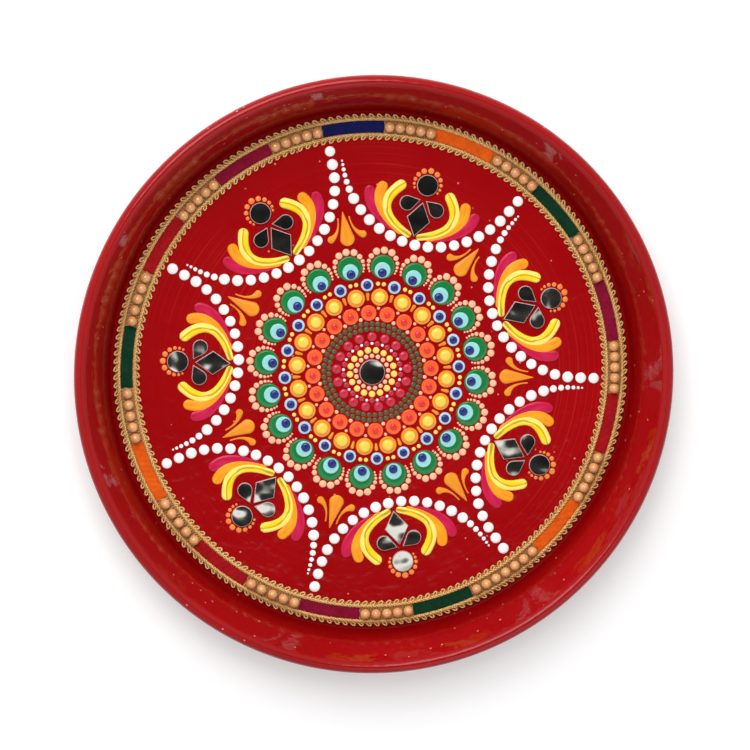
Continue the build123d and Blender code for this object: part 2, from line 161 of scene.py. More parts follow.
def ramp(tree, source, *stops):
    """Weight from a value: each stop is a place from 0 to 1 and the weight there."""
    made = put(tree, "ShaderNodeValToRGB", {"Fac": source})
    while len(made.color_ramp.elements) < len(stops):
        made.color_ramp.elements.new(1)
    for element, (stop, weight) in zip(made.color_ramp.elements, stops):
        element.position = stop
        element.color = (weight, weight, weight, 1)
    return made.outputs["Color"]


def mix(tree, share, first, second):
    """Two colours mixed by a share of the second."""
    inputs = {0: share, 6: first, 7: second}
    return put(tree, "ShaderNodeMix", inputs, data_type="RGBA").outputs[2]


def calc(tree, operation, first, second=0.0):
    """One sum on two values."""
    return put(tree, "ShaderNodeMath", {0: first, 1: second}, operation=operation).outputs[0]


def noise(tree, vector, scale, detail=2.0):
    """Noise from 0 to 1 in space; the scale is in waves a metre."""
    inputs = {"Vector": vector, "Scale": scale, "Detail": detail}
    return put(tree, "ShaderNodeTexNoise", inputs).outputs["Fac"]


def point_on(tree, kind="Object"):
    """Where the shaded point lies on the piece."""
    return put(tree, "ShaderNodeTexCoord").outputs[kind]


def roughen(tree, shader, height, strength, depth, *sockets):
    """Lets a height tilt the shader's normals."""
    made = put(tree, "ShaderNodeBump", {"Height": height, "Strength": strength, "Distance": depth})
    for socket in sockets or ("Normal",):
        tree.links.new(made.outputs["Normal"], shader.inputs[socket])


deep_red = srgb(142, 0, 3)
bright_red = srgb(168, 0, 8)
mark_red = srgb(174, 34, 32)
speck_pink = srgb(236, 150, 140)
painted_crease_shade_red = srgb(92, 0, 2)
cloud_waves = 14.0
patch_waves = 15.0
wear_waves = 60.0
peel_waves = 330.0
long_waves = 170.0
mark_waves = 1000.0
speck_cells = 190.0
crease_on_floor = 0.0016
crease_on_wall = 0.0012
crease_fade = 0.0006
crease_shade_share = 0.6
long_wave_share = 3.0
ring_share = 0.2
skin_depth = 0.0004
skin_strength = 0.12
enamel, tree, shader = new_finish(
    "stoved_red_enamel", coat_roughness=0.05, coat_ior=1.38, specular_ior_level=0.05
)
point = point_on(tree)
flat_point = put(tree, "ShaderNodeVectorMath", {0: point, 1: (1, 1, 0)}, operation="MULTIPLY").outputs[0]
from_middle = put(tree, "ShaderNodeVectorMath", {0: flat_point}, operation="LENGTH").outputs["Value"]
turning = {"W": from_middle, "Scale": mark_waves, "Detail": 3.0}
turning = put(tree, "ShaderNodeTexNoise", turning, noise_dimensions="1D").outputs["Fac"]
patches = noise(tree, point, patch_waves)
turned_marks = ramp(tree, turning, (0.5, 0), (0.72, 1))
crease_start = floor_radius - crease_on_floor
crease_end = wall_foot_radius + crease_on_wall
on_floor = ramp(tree, from_middle, (crease_start - crease_fade, 1), (crease_start, 0.1))
marks = calc(tree, "MULTIPLY", turned_marks, ramp(tree, patches, (0.45, 0.05), (0.64, 0.6)))
marks = calc(tree, "MULTIPLY", marks, on_floor)
crease_band_stops = ((crease_start - crease_fade, 0), (crease_start, 1), (crease_end, 1), (crease_end + crease_fade, 0))
dull_and_shaded_crease = ramp(tree, from_middle, *crease_band_stops)
cells = put(tree, "ShaderNodeTexVoronoi", {"Vector": point, "Scale": speck_cells}).outputs
speck_size = ramp(tree, cells["Distance"], (0.07, 1), (0.1, 0))
speck_share = ramp(tree, cells["Color"], (0.5, 0), (0.55, 0.75))
specks = calc(tree, "MULTIPLY", speck_size, speck_share)
colour = mix(tree, noise(tree, point, cloud_waves, detail=3.0), deep_red, bright_red)
colour = mix(tree, marks, colour, mark_red)
colour = mix(tree, specks, colour, speck_pink)
# Painted shade: the red is darkened in a band at the bend of the wall, where the lace meets it.
colour = mix(tree, calc(tree, "MULTIPLY", dull_and_shaded_crease, crease_shade_share), colour, painted_crease_shade_red)
tree.links.new(colour, shader.inputs["Base Color"])
worn = ramp(tree, noise(tree, point, wear_waves, detail=4.0), (0.3, 0.3), (0.7, 0.46))
tree.links.new(worn, shader.inputs["Roughness"])
orange_peel = noise(tree, point, peel_waves, detail=1.0)
waves = calc(tree, "MULTIPLY", noise(tree, point, long_waves, detail=1.0), long_wave_share)
rings = calc(tree, "MULTIPLY", calc(tree, "MULTIPLY", turning, on_floor), ring_share)
skin = calc(tree, "ADD", calc(tree, "ADD", orange_peel, waves), rings)
roughen(tree, shader, skin, skin_strength, skin_depth, "Normal", "Coat Normal")
tree.links.new(calc(tree, "SUBTRACT", 1.0, dull_and_shaded_crease), shader.inputs["Coat Weight"])
enamelled_dish.data.materials.append(enamel)
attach(enamelled_dish, "root")
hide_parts("dish")

# Lace ribbon: a strip of gold organza, 10.1 mm wide, glued flat along the edge of the floor. It carries
# the rest of the lace, and a net of fine gold threads is sewn over it.
ribbon_low, ribbon_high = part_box("trim_ribbon")
ribbon_width = 0.0101
ribbon_outside = ribbon_high.x
ribbon_inside = ribbon_outside - ribbon_width
ribbon_middle = (ribbon_inside + ribbon_outside) / 2
ribbon_bottom = ribbon_low.z
ribbon_top = ribbon_high.z
ribbon_thread_pitch = 0.0005
ribbon_brown = srgb(132, 80, 40)
ribbon_gold = srgb(204, 152, 92)
ribbon_shade = srgb(122, 70, 38)
shade_share = 0.4
ribbon_tint_waves = 420.0
weave_depth = 0.0002
ribbon_section = [
    (ribbon_inside, ribbon_bottom),
    (ribbon_inside, ribbon_top),
    (ribbon_middle, ribbon_top),
    (ribbon_outside, ribbon_top),
    (ribbon_outside, ribbon_bottom),
    (ribbon_inside, ribbon_bottom),
]
lace_ribbon = turned("lace_ribbon", ribbon_section, dish_steps)
organza, tree, shader = new_finish("gold_organza", metallic=0.05, roughness=0.5, sheen_weight=0.3)
threads = (2 * pi * ribbon_middle / ribbon_thread_pitch, 1 / ribbon_thread_pitch, 1)
weave_place = {"Vector": point_on(tree, "UV"), "Scale": threads}
weave_place = put(tree, "ShaderNodeMapping", weave_place).outputs[0]
weave = put(tree, "ShaderNodeTexChecker", {"Vector": weave_place, "Scale": 1.0}).outputs["Fac"]
tint = noise(tree, point_on(tree), ribbon_tint_waves, detail=3.0)
colour = mix(tree, tint, ribbon_brown, ribbon_gold)
colour = mix(tree, calc(tree, "MULTIPLY", weave, shade_share), colour, ribbon_shade)
tree.links.new(colour, shader.inputs["Base Color"])
roughen(tree, shader, weave, strength=0.5, depth=weave_depth)
lace_ribbon.data.materials.append(organza)
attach(lace_ribbon, "root")
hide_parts("trim_ribbon")

# Net: fine gold threads that cross each other all along the ribbon. They are drawn tight over it and sewn
# down at both of its edges, so the net lies on the ribbon in narrow diamonds.
net_thread_radius = 0.00013
net_crossings = 560
net_lean = 0.0016
net_height = ribbon_top + net_thread_radius
net_hump = 0.00002
net_steps = 6
net_thread_sides = 3
net_brown = srgb(176, 118, 62)
net_gold = srgb(244, 200, 140)
net_tint_waves = 900.0
copy_seed = 7


def new_tree(name, sockets):
    """An empty geometry tree with the named inputs, and the sockets that give their values."""
    tree = bpy.data.node_groups.new(name, "GeometryNodeTree")
    tree.interface.new_socket("Geometry", in_out="OUTPUT", socket_type="NodeSocketGeometry")
    tree.interface.new_socket("Geometry", in_out="INPUT", socket_type="NodeSocketGeometry")
    for socket, kind in sockets.items():
        tree.interface.new_socket(socket, in_out="INPUT", socket_type="NodeSocket" + kind)
    return tree, tree.nodes.new("NodeGroupInput").outputs


def end_tree(tree, inputs, geometry):
    """Closes a tree: its instances are made real and get the material of its last input."""
    real = put(tree, "GeometryNodeRealizeInstances", {"Geometry": geometry}).outputs[0]
    finish = {"Geometry": real, "Material": inputs["Material"]}
    dressed = put(tree, "GeometryNodeSetMaterial", finish).outputs[0]
    tree.links.new(dressed, tree.nodes.new("NodeGroupOutput").inputs["Geometry"])


def grown(made, tree, values):
    """Runs a geometry tree on an object, keeps the result as its plain mesh and removes the modifier."""
    modifier = made.modifiers.new(tree.name, "NODES")
    modifier.node_group = tree
    for item in tree.interface.items_tree:
        if item.in_out == "INPUT" and item.name in values:
            modifier[item.identifier] = values[item.name]
    graph = bpy.context.evaluated_depsgraph_get()
    mesh = bpy.data.meshes.new_from_object(made.evaluated_get(graph))
    made.modifiers.clear()
    made.data = mesh
    return made


# The tree sets turned copies of a piece evenly round the axis of the plate
round_sockets = {"Copies": "Int", "First turn": "Float", "Material": "Material"}
round_plate, inputs = new_tree("round_the_plate", round_sockets)
spots = put(round_plate, "GeometryNodePoints", {"Count": inputs["Copies"]}).outputs[0]
number = put(round_plate, "GeometryNodeInputIndex").outputs[0]
step = calc(round_plate, "DIVIDE", -2 * pi, inputs["Copies"])
turn = calc(round_plate, "SUBTRACT", calc(round_plate, "MULTIPLY", number, step), inputs["First turn"])
euler = put(round_plate, "ShaderNodeCombineXYZ", {"Z": turn}).outputs[0]
rotation = put(round_plate, "FunctionNodeEulerToRotation", {0: euler}).outputs[0]
copies = put(
    round_plate,
    "GeometryNodeInstanceOnPoints",
    {"Points": spots, "Instance": inputs["Geometry"], "Rotation": rotation},
).outputs[0]
chance = put(round_plate, "FunctionNodeRandomValue", {"Seed": copy_seed}).outputs[1]
copies = put(
    round_plate,
    "GeometryNodeStoreNamedAttribute",
    {"Geometry": copies, "Name": "tone", "Value": chance},
    domain="INSTANCE",
).outputs[0]
end_tree(round_plate, inputs, copies)


def thread_tube(mesh, line, radius, sides):
    """Adds a thin closed tube along a line of points to a bmesh."""
    rings = []
    for index, here in enumerate(line):
        ahead = line[min(index + 1, len(line) - 1)] - line[max(index - 1, 0)]
        across = ahead.cross(Vector((0, 0, 1))).normalized()
        upward = across.cross(ahead).normalized()
        angles = [2 * pi * side / sides for side in range(sides)]
        rings.append([mesh.verts.new(here + (across * cos(a) + upward * sin(a)) * radius) for a in angles])
    for near, far in zip(rings, rings[1:]):
        for side in range(sides):
            after = (side + 1) % sides
            mesh.faces.new((near[side], near[after], far[after], far[side]))
    mesh.faces.new(rings[0][::-1])
    mesh.faces.new(rings[-1])


mesh = bmesh.new()
for lean, lift in ((-net_lean, 0), (net_lean, 2 * net_thread_radius)):
    net_line = []
    for index in range(net_steps + 1):
        share = index / net_steps
        height = net_height + lift + net_hump * sin(pi * share)
        net_line.append(Vector((lean * (2 * share - 1), ribbon_inside + ribbon_width * share, height)))
    thread_tube(mesh, net_line, net_thread_radius, net_thread_sides)
lace_net = as_object("lace_net", mesh)
gold_net, tree, shader = new_finish("gold_net_thread", metallic=0.15, roughness=0.36)
colour = mix(tree, noise(tree, point_on(tree), net_tint_waves), net_brown, net_gold)
tree.links.new(colour, shader.inputs["Base Color"])
lace_net = grown(lace_net, round_plate, {"Copies": net_crossings, "First turn": 0.0, "Material": gold_net})
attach(lace_net, "root")

# Braids: two gimp braids of gold thread along the edges of the ribbon. Each is a thread wound in leaning
# loops, which stand out from the lace, over a cord of two strands that is twisted and sewn down.
braid_width = 0.0034
loop_pitch = 0.0038
loop_thread_radius = 0.00036
loop_steps = 22
loop_back_step = 0.0019
loop_lean = radians(24)
loop_sink = 0.0002
thread_sides = 6
ply_pitch = 0.00075
ply_depth = 0.00012
cord_strand_radius = 0.0004
cord_twist_radius = 0.00042
cord_pitch = 0.0036
cord_steps = 9
thread_gold = srgb(240, 176, 94)
thread_pale = srgb(255, 220, 144)
thread_shade = srgb(112, 56, 20)
thread_tint_waves = 150.0
braid_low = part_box("inner_braid")[0].z
braid_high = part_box("inner_braid")[1].z
wind_sockets = {
    "Turns": "Int",
    "Steps": "Int",
    "Radius": "Float",
    "Swing": "Float",
    "Back step": "Float",
    "Lean": "Float",
    "Height": "Float",
    "Lift": "Float",
    "Start": "Float",
    "Thread": "Float",
    "Sides": "Int",
    "Material": "Material",
}
wound, inputs = new_tree("wound_thread", wind_sockets)
count = calc(wound, "MULTIPLY", inputs["Turns"], inputs["Steps"])
number = put(wound, "GeometryNodeInputIndex").outputs[0]
winding = calc(wound, "MULTIPLY", calc(wound, "DIVIDE", number, inputs["Steps"]), 2 * pi)
winding = calc(wound, "ADD", winding, inputs["Start"])
winding_sine = calc(wound, "SINE", winding)
leaning_sine = calc(wound, "SINE", calc(wound, "ADD", winding, inputs["Lean"]))
back_turn = calc(wound, "DIVIDE", inputs["Back step"], inputs["Radius"])
back_turn = calc(wound, "MULTIPLY", back_turn, leaning_sine)
turn = calc(wound, "MULTIPLY", calc(wound, "DIVIDE", number, count), 2 * pi)
turn = calc(wound, "SUBTRACT", turn, back_turn)
swing = calc(wound, "MULTIPLY", inputs["Swing"], calc(wound, "COSINE", winding))
reach = calc(wound, "ADD", inputs["Radius"], swing)
spot = {
    "X": calc(wound, "MULTIPLY", reach, calc(wound, "SINE", turn)),
    "Y": calc(wound, "MULTIPLY", reach, calc(wound, "COSINE", turn)),
    "Z": calc(wound, "ADD", inputs["Height"], calc(wound, "MULTIPLY", inputs["Lift"], winding_sine)),
}
spot = put(wound, "ShaderNodeCombineXYZ", spot).outputs[0]
line = put(wound, "GeometryNodeMeshCircle", {"Vertices": count}).outputs[0]
line = put(wound, "GeometryNodeSetPosition", {"Geometry": line, "Position": spot}).outputs[0]
line = put(wound, "GeometryNodeMeshToCurve", {"Mesh": line}).outputs[0]
run = put(wound, "GeometryNodeSplineParameter").outputs["Length"]
line = {"Geometry": line, "Name": "run", "Value": run}
line = put(wound, "GeometryNodeStoreNamedAttribute", line, domain="POINT").outputs[0]
section = {"Resolution": inputs["Sides"], "Radius": inputs["Thread"]}
section = put(wound, "GeometryNodeCurvePrimitiveCircle", section).outputs[0]
tube = put(wound, "GeometryNodeCurveToMesh", {"Curve": line, "Profile Curve": section}).outputs[0]
end_tree(wound, inputs, tube)

gold_thread, tree, shader = new_finish("gold_braid_thread", metallic=0.2, roughness=0.3)
run = put(tree, "ShaderNodeAttribute", attribute_name="run").outputs["Fac"]
lay = calc(tree, "SINE", calc(tree, "MULTIPLY", run, 2 * pi / ply_pitch))
lay = calc(tree, "ADD", calc(tree, "MULTIPLY", lay, 0.5), 0.5)
tint = noise(tree, point_on(tree), thread_tint_waves, detail=3.0)
colour = mix(tree, tint, thread_gold, thread_pale)
colour = mix(tree, ramp(tree, lay, (0.0, 0.6), (0.55, 0.0)), colour, thread_shade)
tree.links.new(colour, shader.inputs["Base Color"])
roughen(tree, shader, lay, strength=0.5, depth=ply_depth)

loop_swing = braid_width / 2 - loop_thread_radius
loop_lift = (braid_high - braid_low) / 2 - loop_thread_radius - loop_sink
inner_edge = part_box("inner_braid")[1].x - braid_width
outer_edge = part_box("outer_braid")[1].x
for side, name, edge in ((-1, "inner", inner_edge), (1, "outer", outer_edge)):
    loops_radius = edge - side * braid_width / 2
    cord_radius = edge - side * (braid_width - cord_twist_radius - cord_strand_radius)
    values = {
        "Turns": round(2 * pi * loops_radius / loop_pitch),
        "Steps": loop_steps,
        "Radius": loops_radius,
        "Swing": side * loop_swing,
        "Back step": loop_back_step,
        "Lean": loop_lean,
        "Height": (braid_low + braid_high) / 2 - loop_sink,
        "Lift": loop_lift,
        "Start": 0.0,
        "Thread": loop_thread_radius,
        "Sides": thread_sides,
        "Material": gold_thread,
    }
    loops = bpy.data.objects.new(f"{name}_braid_loops", bpy.data.meshes.new(f"{name}_braid_loops"))
    bpy.context.scene.collection.objects.link(loops)
    grown(loops, wound, values)
    for strand in range(2):
        values.update({
            "Turns": round(2 * pi * cord_radius / cord_pitch),
            "Steps": cord_steps,
            "Radius": cord_radius,
            "Swing": cord_twist_radius,
            "Back step": 0.0,
            "Lean": 0.0,
            "Height": braid_low + cord_twist_radius + cord_strand_radius,
            "Lift": cord_twist_radius,
            "Start": pi * strand,
            "Thread": cord_strand_radius,
        })
        cord_name = f"{name}_braid_cord_{strand + 1}"
        cord = bpy.data.objects.new(cord_name, bpy.data.meshes.new(cord_name))
        bpy.context.scene.collection.objects.link(cord)
        grown(cord, wound, values)
        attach(cord, "root")
    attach(loops, "root")
    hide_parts(f"{name}_braid")


# Velvet: short strips of cotton velvet in five colours, cut square and glued along the middle of the
# lace between runs of pearls. The pile is short, and lies a little differently from strip to strip.
def solids(node):
    """The points of each separate solid of a node, from a merged copy of its mesh."""
    mesh = bmesh.new()
    mesh.from_mesh(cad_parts[node].data)
    bmesh.ops.remove_doubles(mesh, verts=mesh.verts, dist=weld_gap)
    seen = set()
    found = []
    for start in mesh.verts:
        if start in seen:
            continue
        seen.add(start)
        waiting = [start]
        points = []
        while waiting:
            corner = waiting.pop()
            points.append(corner.co.copy())
            for edge in corner.link_edges:
                other = edge.other_vert(corner)
                if other not in seen:
                    seen.add(other)
                    waiting.append(other)
        found.append(points)
    mesh.free()
    return found


velvet_colours = {
    "velvet_navy": (8, 18, 84),
    "velvet_orange": (255, 96, 8),
    "velvet_green": (0, 54, 30),
    "velvet_wine": (138, 0, 46),
    "velvet_red": (168, 4, 16),
}
velvet_steps = 56
velvet_columns = 12
pile_edge = 0.0006
pile_sway = 0.00016
pile_fall_share = 0.3
pile_depth = 0.0003
pile_waves = 2600.0
brushed_waves = 260.0
ripple_waves = (41, 67)
ripple_slants = (9, -5)


def velvet_finish(name, colour):
    """Short cotton pile: soft, matt, with a sheen along its edges and brushed patches."""
    sheen = {"sheen_weight": 0.12, "sheen_roughness": 0.35, "sheen_tint": colour}
    material, tree, shader = new_finish(name, roughness=0.85, specular_ior_level=0.15, **sheen)
    point = point_on(tree)
    brushed = noise(tree, point, brushed_waves, detail=3.0)
    pile = noise(tree, point, pile_waves)
    darker = tuple(value * 0.55 for value in colour[:3]) + (1,)
    lighter = tuple(min(1, value * 1.3 + 0.006) for value in colour[:3]) + (1,)
    tone = mix(tree, brushed, darker, lighter)
    tone = mix(tree, ramp(tree, pile, (0.35, 0.35), (0.6, 0)), tone, darker)
    tree.links.new(tone, shader.inputs["Base Color"])
    roughen(tree, shader, pile, strength=0.6, depth=pile_depth)
    return material


for node, colour in velvet_colours.items():
    mesh = bmesh.new()
    for strip in solids(node):
        radii = [hypot(point.x, point.y) for point in strip]
        middle = sum(strip, Vector()) / len(strip)
        facing = atan2(middle.x, middle.y)
        turns = [(atan2(point.x, point.y) - facing + pi) % (2 * pi) - pi for point in strip]
        inside, outside = min(radii), max(radii)
        bottom = min(point.z for point in strip)
        top = max(point.z for point in strip)
        grid = []
        for step in range(velvet_steps + 1):
            way = step / velvet_steps
            row = []
            for column in range(velvet_columns + 1):
                across = column / velvet_columns
                radius = inside + (outside - inside) * across
                turn = facing + min(turns) + (max(turns) - min(turns)) * way
                edge = min(across, 1 - across) * (outside - inside)
                end = min(way, 1 - way) * (max(turns) - min(turns)) * radius
                fall = max(0, 1 - min(edge, end) / pile_edge)
                first = sin(ripple_waves[0] * way + ripple_slants[0] * across + facing)
                second = sin(ripple_waves[1] * way + ripple_slants[1] * across)
                ripple = pile_sway * (first + second) / 2
                height = top - pile_sway - (top - bottom) * pile_fall_share * fall**2 + ripple
                row.append(mesh.verts.new((radius * sin(turn), radius * cos(turn), height)))
            grid.append(row)
        outline = grid[0] + [row[-1] for row in grid[1:]]
        outline += grid[-1][-2::-1] + [row[0] for row in grid[-2:0:-1]]
        foot = [mesh.verts.new((corner.co.x, corner.co.y, bottom)) for corner in outline]
        for near, far in zip(grid, grid[1:]):
            for column in range(velvet_columns):
                mesh.faces.new((near[column], near[column + 1], far[column + 1], far[column]))
        for index, corner in enumerate(outline):
            after = (index + 1) % len(outline)
            mesh.faces.new((corner, outline[after], foot[after], foot[index]))
        mesh.faces.new(foot)
    strips = as_object(f"{node}_strips", mesh)
    strips.data.materials.append(velvet_finish(node, srgb(*colour)))
    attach(strips, "root")
    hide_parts(node)

# Pearls: imitation pearls of moulded plastic with a peach nacre skin. They are threaded in short rows and
# sewn down along the middle of the lace, between the strips of velvet.
pearl_seat = 0.07
pearl_swell = 1.06
pearl_steps = 12
pearl_sides = 22
pearl_seed = 11
nacre_deep = srgb(214, 138, 76)
nacre_pale = srgb(246, 190, 122)
nacre_dull = srgb(206, 136, 78)
dull_share = 0.45
nacre_waves = 520.0
nacre_depth = 0.0002

# The tree sets copies of one mould, each with its own size and turn, on the points of a mesh
cast_sockets = {"Mould": "Object", "Uneven": "Float", "Seed": "Int", "Material": "Material"}
cast, inputs = new_tree("cast_copies", cast_sockets)
mould_shape = put(cast, "GeometryNodeObjectInfo", {"Object": inputs["Mould"]}).outputs["Geometry"]
size = put(cast, "GeometryNodeInputNamedAttribute", {"Name": "size"}).outputs[0]
swing = put(cast, "FunctionNodeRandomValue", {2: -1.0, 3: 1.0, "Seed": inputs["Seed"]}).outputs[1]
spread = calc(cast, "ADD", calc(cast, "MULTIPLY", swing, inputs["Uneven"]), 1.0)
scale = calc(cast, "MULTIPLY", size, spread)
spin = put(cast, "FunctionNodeRandomValue", {3: 2 * pi, "Seed": inputs["Seed"]}).outputs[1]
euler = put(cast, "ShaderNodeCombineXYZ", {"Z": spin}).outputs[0]
rotation = put(cast, "FunctionNodeEulerToRotation", {0: euler}).outputs[0]
casts = put(
    cast,
    "GeometryNodeInstanceOnPoints",
    {"Points": inputs["Geometry"], "Instance": mould_shape, "Rotation": rotation, "Scale": scale},
).outputs[0]
chance = put(cast, "FunctionNodeRandomValue", {"Seed": inputs["Seed"]}).outputs[1]
casts = put(
    cast,
    "GeometryNodeStoreNamedAttribute",
    {"Geometry": casts, "Name": "tone", "Value": chance},
    domain="INSTANCE",
).outputs[0]
end_tree(cast, inputs, casts)


def cast_on(name, node, mould, uneven, seed, material):
    """A copy of the mould, which has a radius of 1, on the foot of each solid of a node."""
    data = bpy.data.meshes.new(name)
    feet = []
    sizes = []
    for points in solids(node):
        lows = [min(point[axis] for point in points) for axis in range(3)]
        highs = [max(point[axis] for point in points) for axis in range(2)]
        feet.append(((lows[0] + highs[0]) / 2, (lows[1] + highs[1]) / 2, lows[2]))
        sizes.append((highs[0] - lows[0]) / 2)
    data.from_pydata(feet, [], [])
    data.attributes.new("size", "FLOAT", "POINT").data.foreach_set("value", sizes)
    made = bpy.data.objects.new(name, data)
    bpy.context.scene.collection.objects.link(made)
    values = {"Mould": mould, "Uneven": uneven, "Seed": seed, "Material": material}
    return grown(made, cast, values)


pearl_seat_angle = -pi / 2 + sqrt(2 * pearl_seat)
pearl_round = arc((0, 1 - pearl_seat), 1, pearl_seat_angle, pi / 2, pearl_steps)
pearl_round[-1] = (0, 2 - pearl_seat)
pearl_section = [(x * pearl_swell, y * pearl_swell) for x, y in [(0, 0)] + pearl_round]
pearl_mould = turned("pearl_mould", pearl_section, pearl_sides)
glow = {"subsurface_weight": 0.05, "subsurface_scale": 0.002, "subsurface_radius": (1.0, 0.5, 0.3)}
nacre, tree, shader = new_finish(
    "peach_nacre", roughness=0.2, coat_weight=1.0, coat_roughness=0.1, coat_ior=1.7, **glow
)
tone = put(tree, "ShaderNodeAttribute", attribute_name="tone").outputs["Fac"]
cloudy = noise(tree, point_on(tree), nacre_waves, detail=3.0)
colour = mix(tree, cloudy, nacre_deep, nacre_pale)
colour = mix(tree, calc(tree, "MULTIPLY", tone, dull_share), colour, nacre_dull)
tree.links.new(colour, shader.inputs["Base Color"])
roughen(tree, shader, cloudy, strength=0.15, depth=nacre_depth)
sewn_pearls = cast_on("sewn_pearls", "pearls", pearl_mould, 0.0, pearl_seed, nacre)
bpy.data.objects.remove(pearl_mould)
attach(sewn_pearls, "root")
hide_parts("pearls")

# Mirrors: small pieces of silvered glass, cut by hand and ground at the edge, set in glue on the enamel.
# The glue isn't even, so each mirror leans a little its own way, and its silvering is wavy and stained.
silver = srgb(228, 226, 216)
stain = srgb(150, 146, 136)
edge_brown = srgb(158, 130, 126)
edge_pale = srgb(222, 200, 194)
silver_wave_depth = 0.0007
silver_waves = 80.0
smear_waves = 90.0
stain_waves = 800.0
grain_waves = 1500.0
silvering, tree, shader = new_finish("silvered_glass", metallic=1.0, specular_ior_level=0.5)
stains = noise(tree, point_on(tree), stain_waves, detail=3.0)
smears = noise(tree, point_on(tree), smear_waves)
colour = mix(tree, ramp(tree, stains, (0.62, 0), (0.74, 0.5)), silver, stain)
tree.links.new(colour, shader.inputs["Base Color"])
tree.links.new(ramp(tree, smears, (0.35, 0.02), (0.75, 0.08)), shader.inputs["Roughness"])
silver_wave = noise(tree, point_on(tree), silver_waves, detail=1.0)
roughen(tree, shader, silver_wave, strength=1.0, depth=silver_wave_depth)
ground_edge, tree, shader = new_finish("ground_glass_edge", specular_ior_level=0.6, coat_weight=0.4)
grain = noise(tree, point_on(tree), grain_waves)
colour = mix(tree, grain, edge_brown, edge_pale)
tree.links.new(colour, shader.inputs["Base Color"])
tree.links.new(ramp(tree, grain, (0.2, 0.3), (0.8, 0.6)), shader.inputs["Roughness"])

mirror_leans = {
    "diamond_mirror": (0.3, 0.2),
    "drop_mirror_left": (1.0, 0.9),
    "drop_mirror_right": (1.2, 0.8),
    "round_mirror": (1.9, 1.3),
}
set_leans = {"middle_mirror": (0.0, 0.1), "round_mirror_4": (0.0, 1.3)}
lean_steps = (2.4, 1.7)
flat_face_angle = radians(0.5)
mirror_sharp_angle = radians(25)
upward_share = 0.97
mirror_nodes = [name for name in sorted(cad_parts) if "mirror" in name and name != "mirror_beads"]
for index, node in enumerate(mirror_nodes):
    kind = node.rstrip("0123456789").rstrip("_")
    low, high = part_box(node)
    middle = (low + high) / 2
    if node in set_leans:
        slope_x, slope_y = (tan(radians(lean)) for lean in set_leans[node])
    else:
        slope_x, slope_y = (tan(radians(lean)) for lean in mirror_leans[kind])
        slope_x *= sin(lean_steps[0] * index)
        slope_y *= -abs(cos(lean_steps[1] * index))
    mesh = bmesh.new()
    mesh.from_mesh(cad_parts[node].data)
    bmesh.ops.remove_doubles(mesh, verts=mesh.verts, dist=weld_gap)
    bmesh.ops.dissolve_limit(mesh, angle_limit=flat_face_angle, verts=mesh.verts, edges=mesh.edges)
    for corner in mesh.verts:
        if corner.co.z > middle.z:
            way = corner.co - middle
            corner.co.z += way.x * slope_x + way.y * slope_y
    for face in mesh.faces:
        face.normal_update()
        face.material_index = 0 if face.normal.z > upward_share else 1
    glass = as_object(f"cut_{node}", mesh, mirror_sharp_angle)
    glass.data.materials.append(silvering)
    glass.data.materials.append(ground_edge)
    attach(glass, "root")
    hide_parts(node)

# Dots: thick glossy craft paint, set down drop by drop with dotting sticks of many sizes. A drop dries to
# a low dome with a round shoulder, and larger drops settle to flat discs that carry a second colour.
dot_section = [(0, 0), (1, 0), (0.985, 0.13), (0.9, 0.24), (0.6, 0.33), (0.3, 0.365), (0, 0.375)]
dot_sides = 16
dot_uneven = 0.035
first_dot_seed = 20
disc_sides = 32
disc_uneven = 0.02
first_disc_seed = 40
paint_mottle = 0.35
drop_mottle = 0.7 * paint_mottle
paint_cloud_waves = 700.0
paint_skin_waves = 1100.0
paint_depth = 0.0003
dot_mould = turned("dot_mould", dot_section, dot_sides)


def disc_mould(name, radius, rise):
    """A flat drop with a soft raised shoulder; its real radius gives the share of its rise."""
    share = rise / radius
    shoulder = [(0.985, share * 0.6), (0.94, share * 0.93), (0.88, share), (0.6, share * 0.97)]
    return turned(name, [(0, 0), (1, 0), *shoulder, (0, share * 0.96)], disc_sides)


def paint(name, colour, deeper_colour):
    """Dried craft paint: each drop has its own tone, the pigment is a little cloudy, the skin is glossy."""
    material, tree, shader = new_finish(
        name, roughness=0.28, coat_weight=0.85, coat_roughness=0.1, coat_ior=1.55, specular_ior_level=0.25
    )
    point = point_on(tree)
    tone = put(tree, "ShaderNodeAttribute", attribute_name="tone").outputs["Fac"]
    cloud = noise(tree, point, paint_cloud_waves, detail=3.0)
    deeper = srgb(*deeper_colour)
    mixed = mix(tree, calc(tree, "MULTIPLY", cloud, paint_mottle), srgb(*colour), deeper)
    mixed = mix(tree, calc(tree, "MULTIPLY", tone, drop_mottle), mixed, deeper)
    tree.links.new(mixed, shader.inputs["Base Color"])
    roughen(tree, shader, noise(tree, point, paint_skin_waves), strength=0.12, depth=paint_depth)
    return material


drops = {
    "white_dots": ((255, 254, 251), (232, 234, 238)),
    "salmon_dots": ((252, 200, 164), (238, 160, 120)),
    "halo_dots": ((252, 198, 160), (240, 160, 118)),
    "lemon_dots": ((252, 228, 112), (242, 190, 60)),
    "raspberry_dots": ((206, 30, 62), (160, 12, 40)),
    "olive_beads": ((72, 94, 44), (40, 52, 22)),
    "red_tops": ((238, 40, 44), (196, 16, 30)),
    "yellow_tops": ((255, 222, 84), (252, 178, 44)),
    "navy_pupils": ((7, 31, 130), (2, 12, 78)),
    "mirror_beads": ((250, 146, 52), (238, 96, 40)),
}
for seed, (node, colours) in enumerate(drops.items()):
    material = paint(node, *colours)
    piece = cast_on(f"painted_{node}", node, dot_mould, dot_uneven, first_dot_seed + seed, material)
    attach(piece, "root")
    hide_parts(node)
bpy.data.objects.remove(dot_mould)

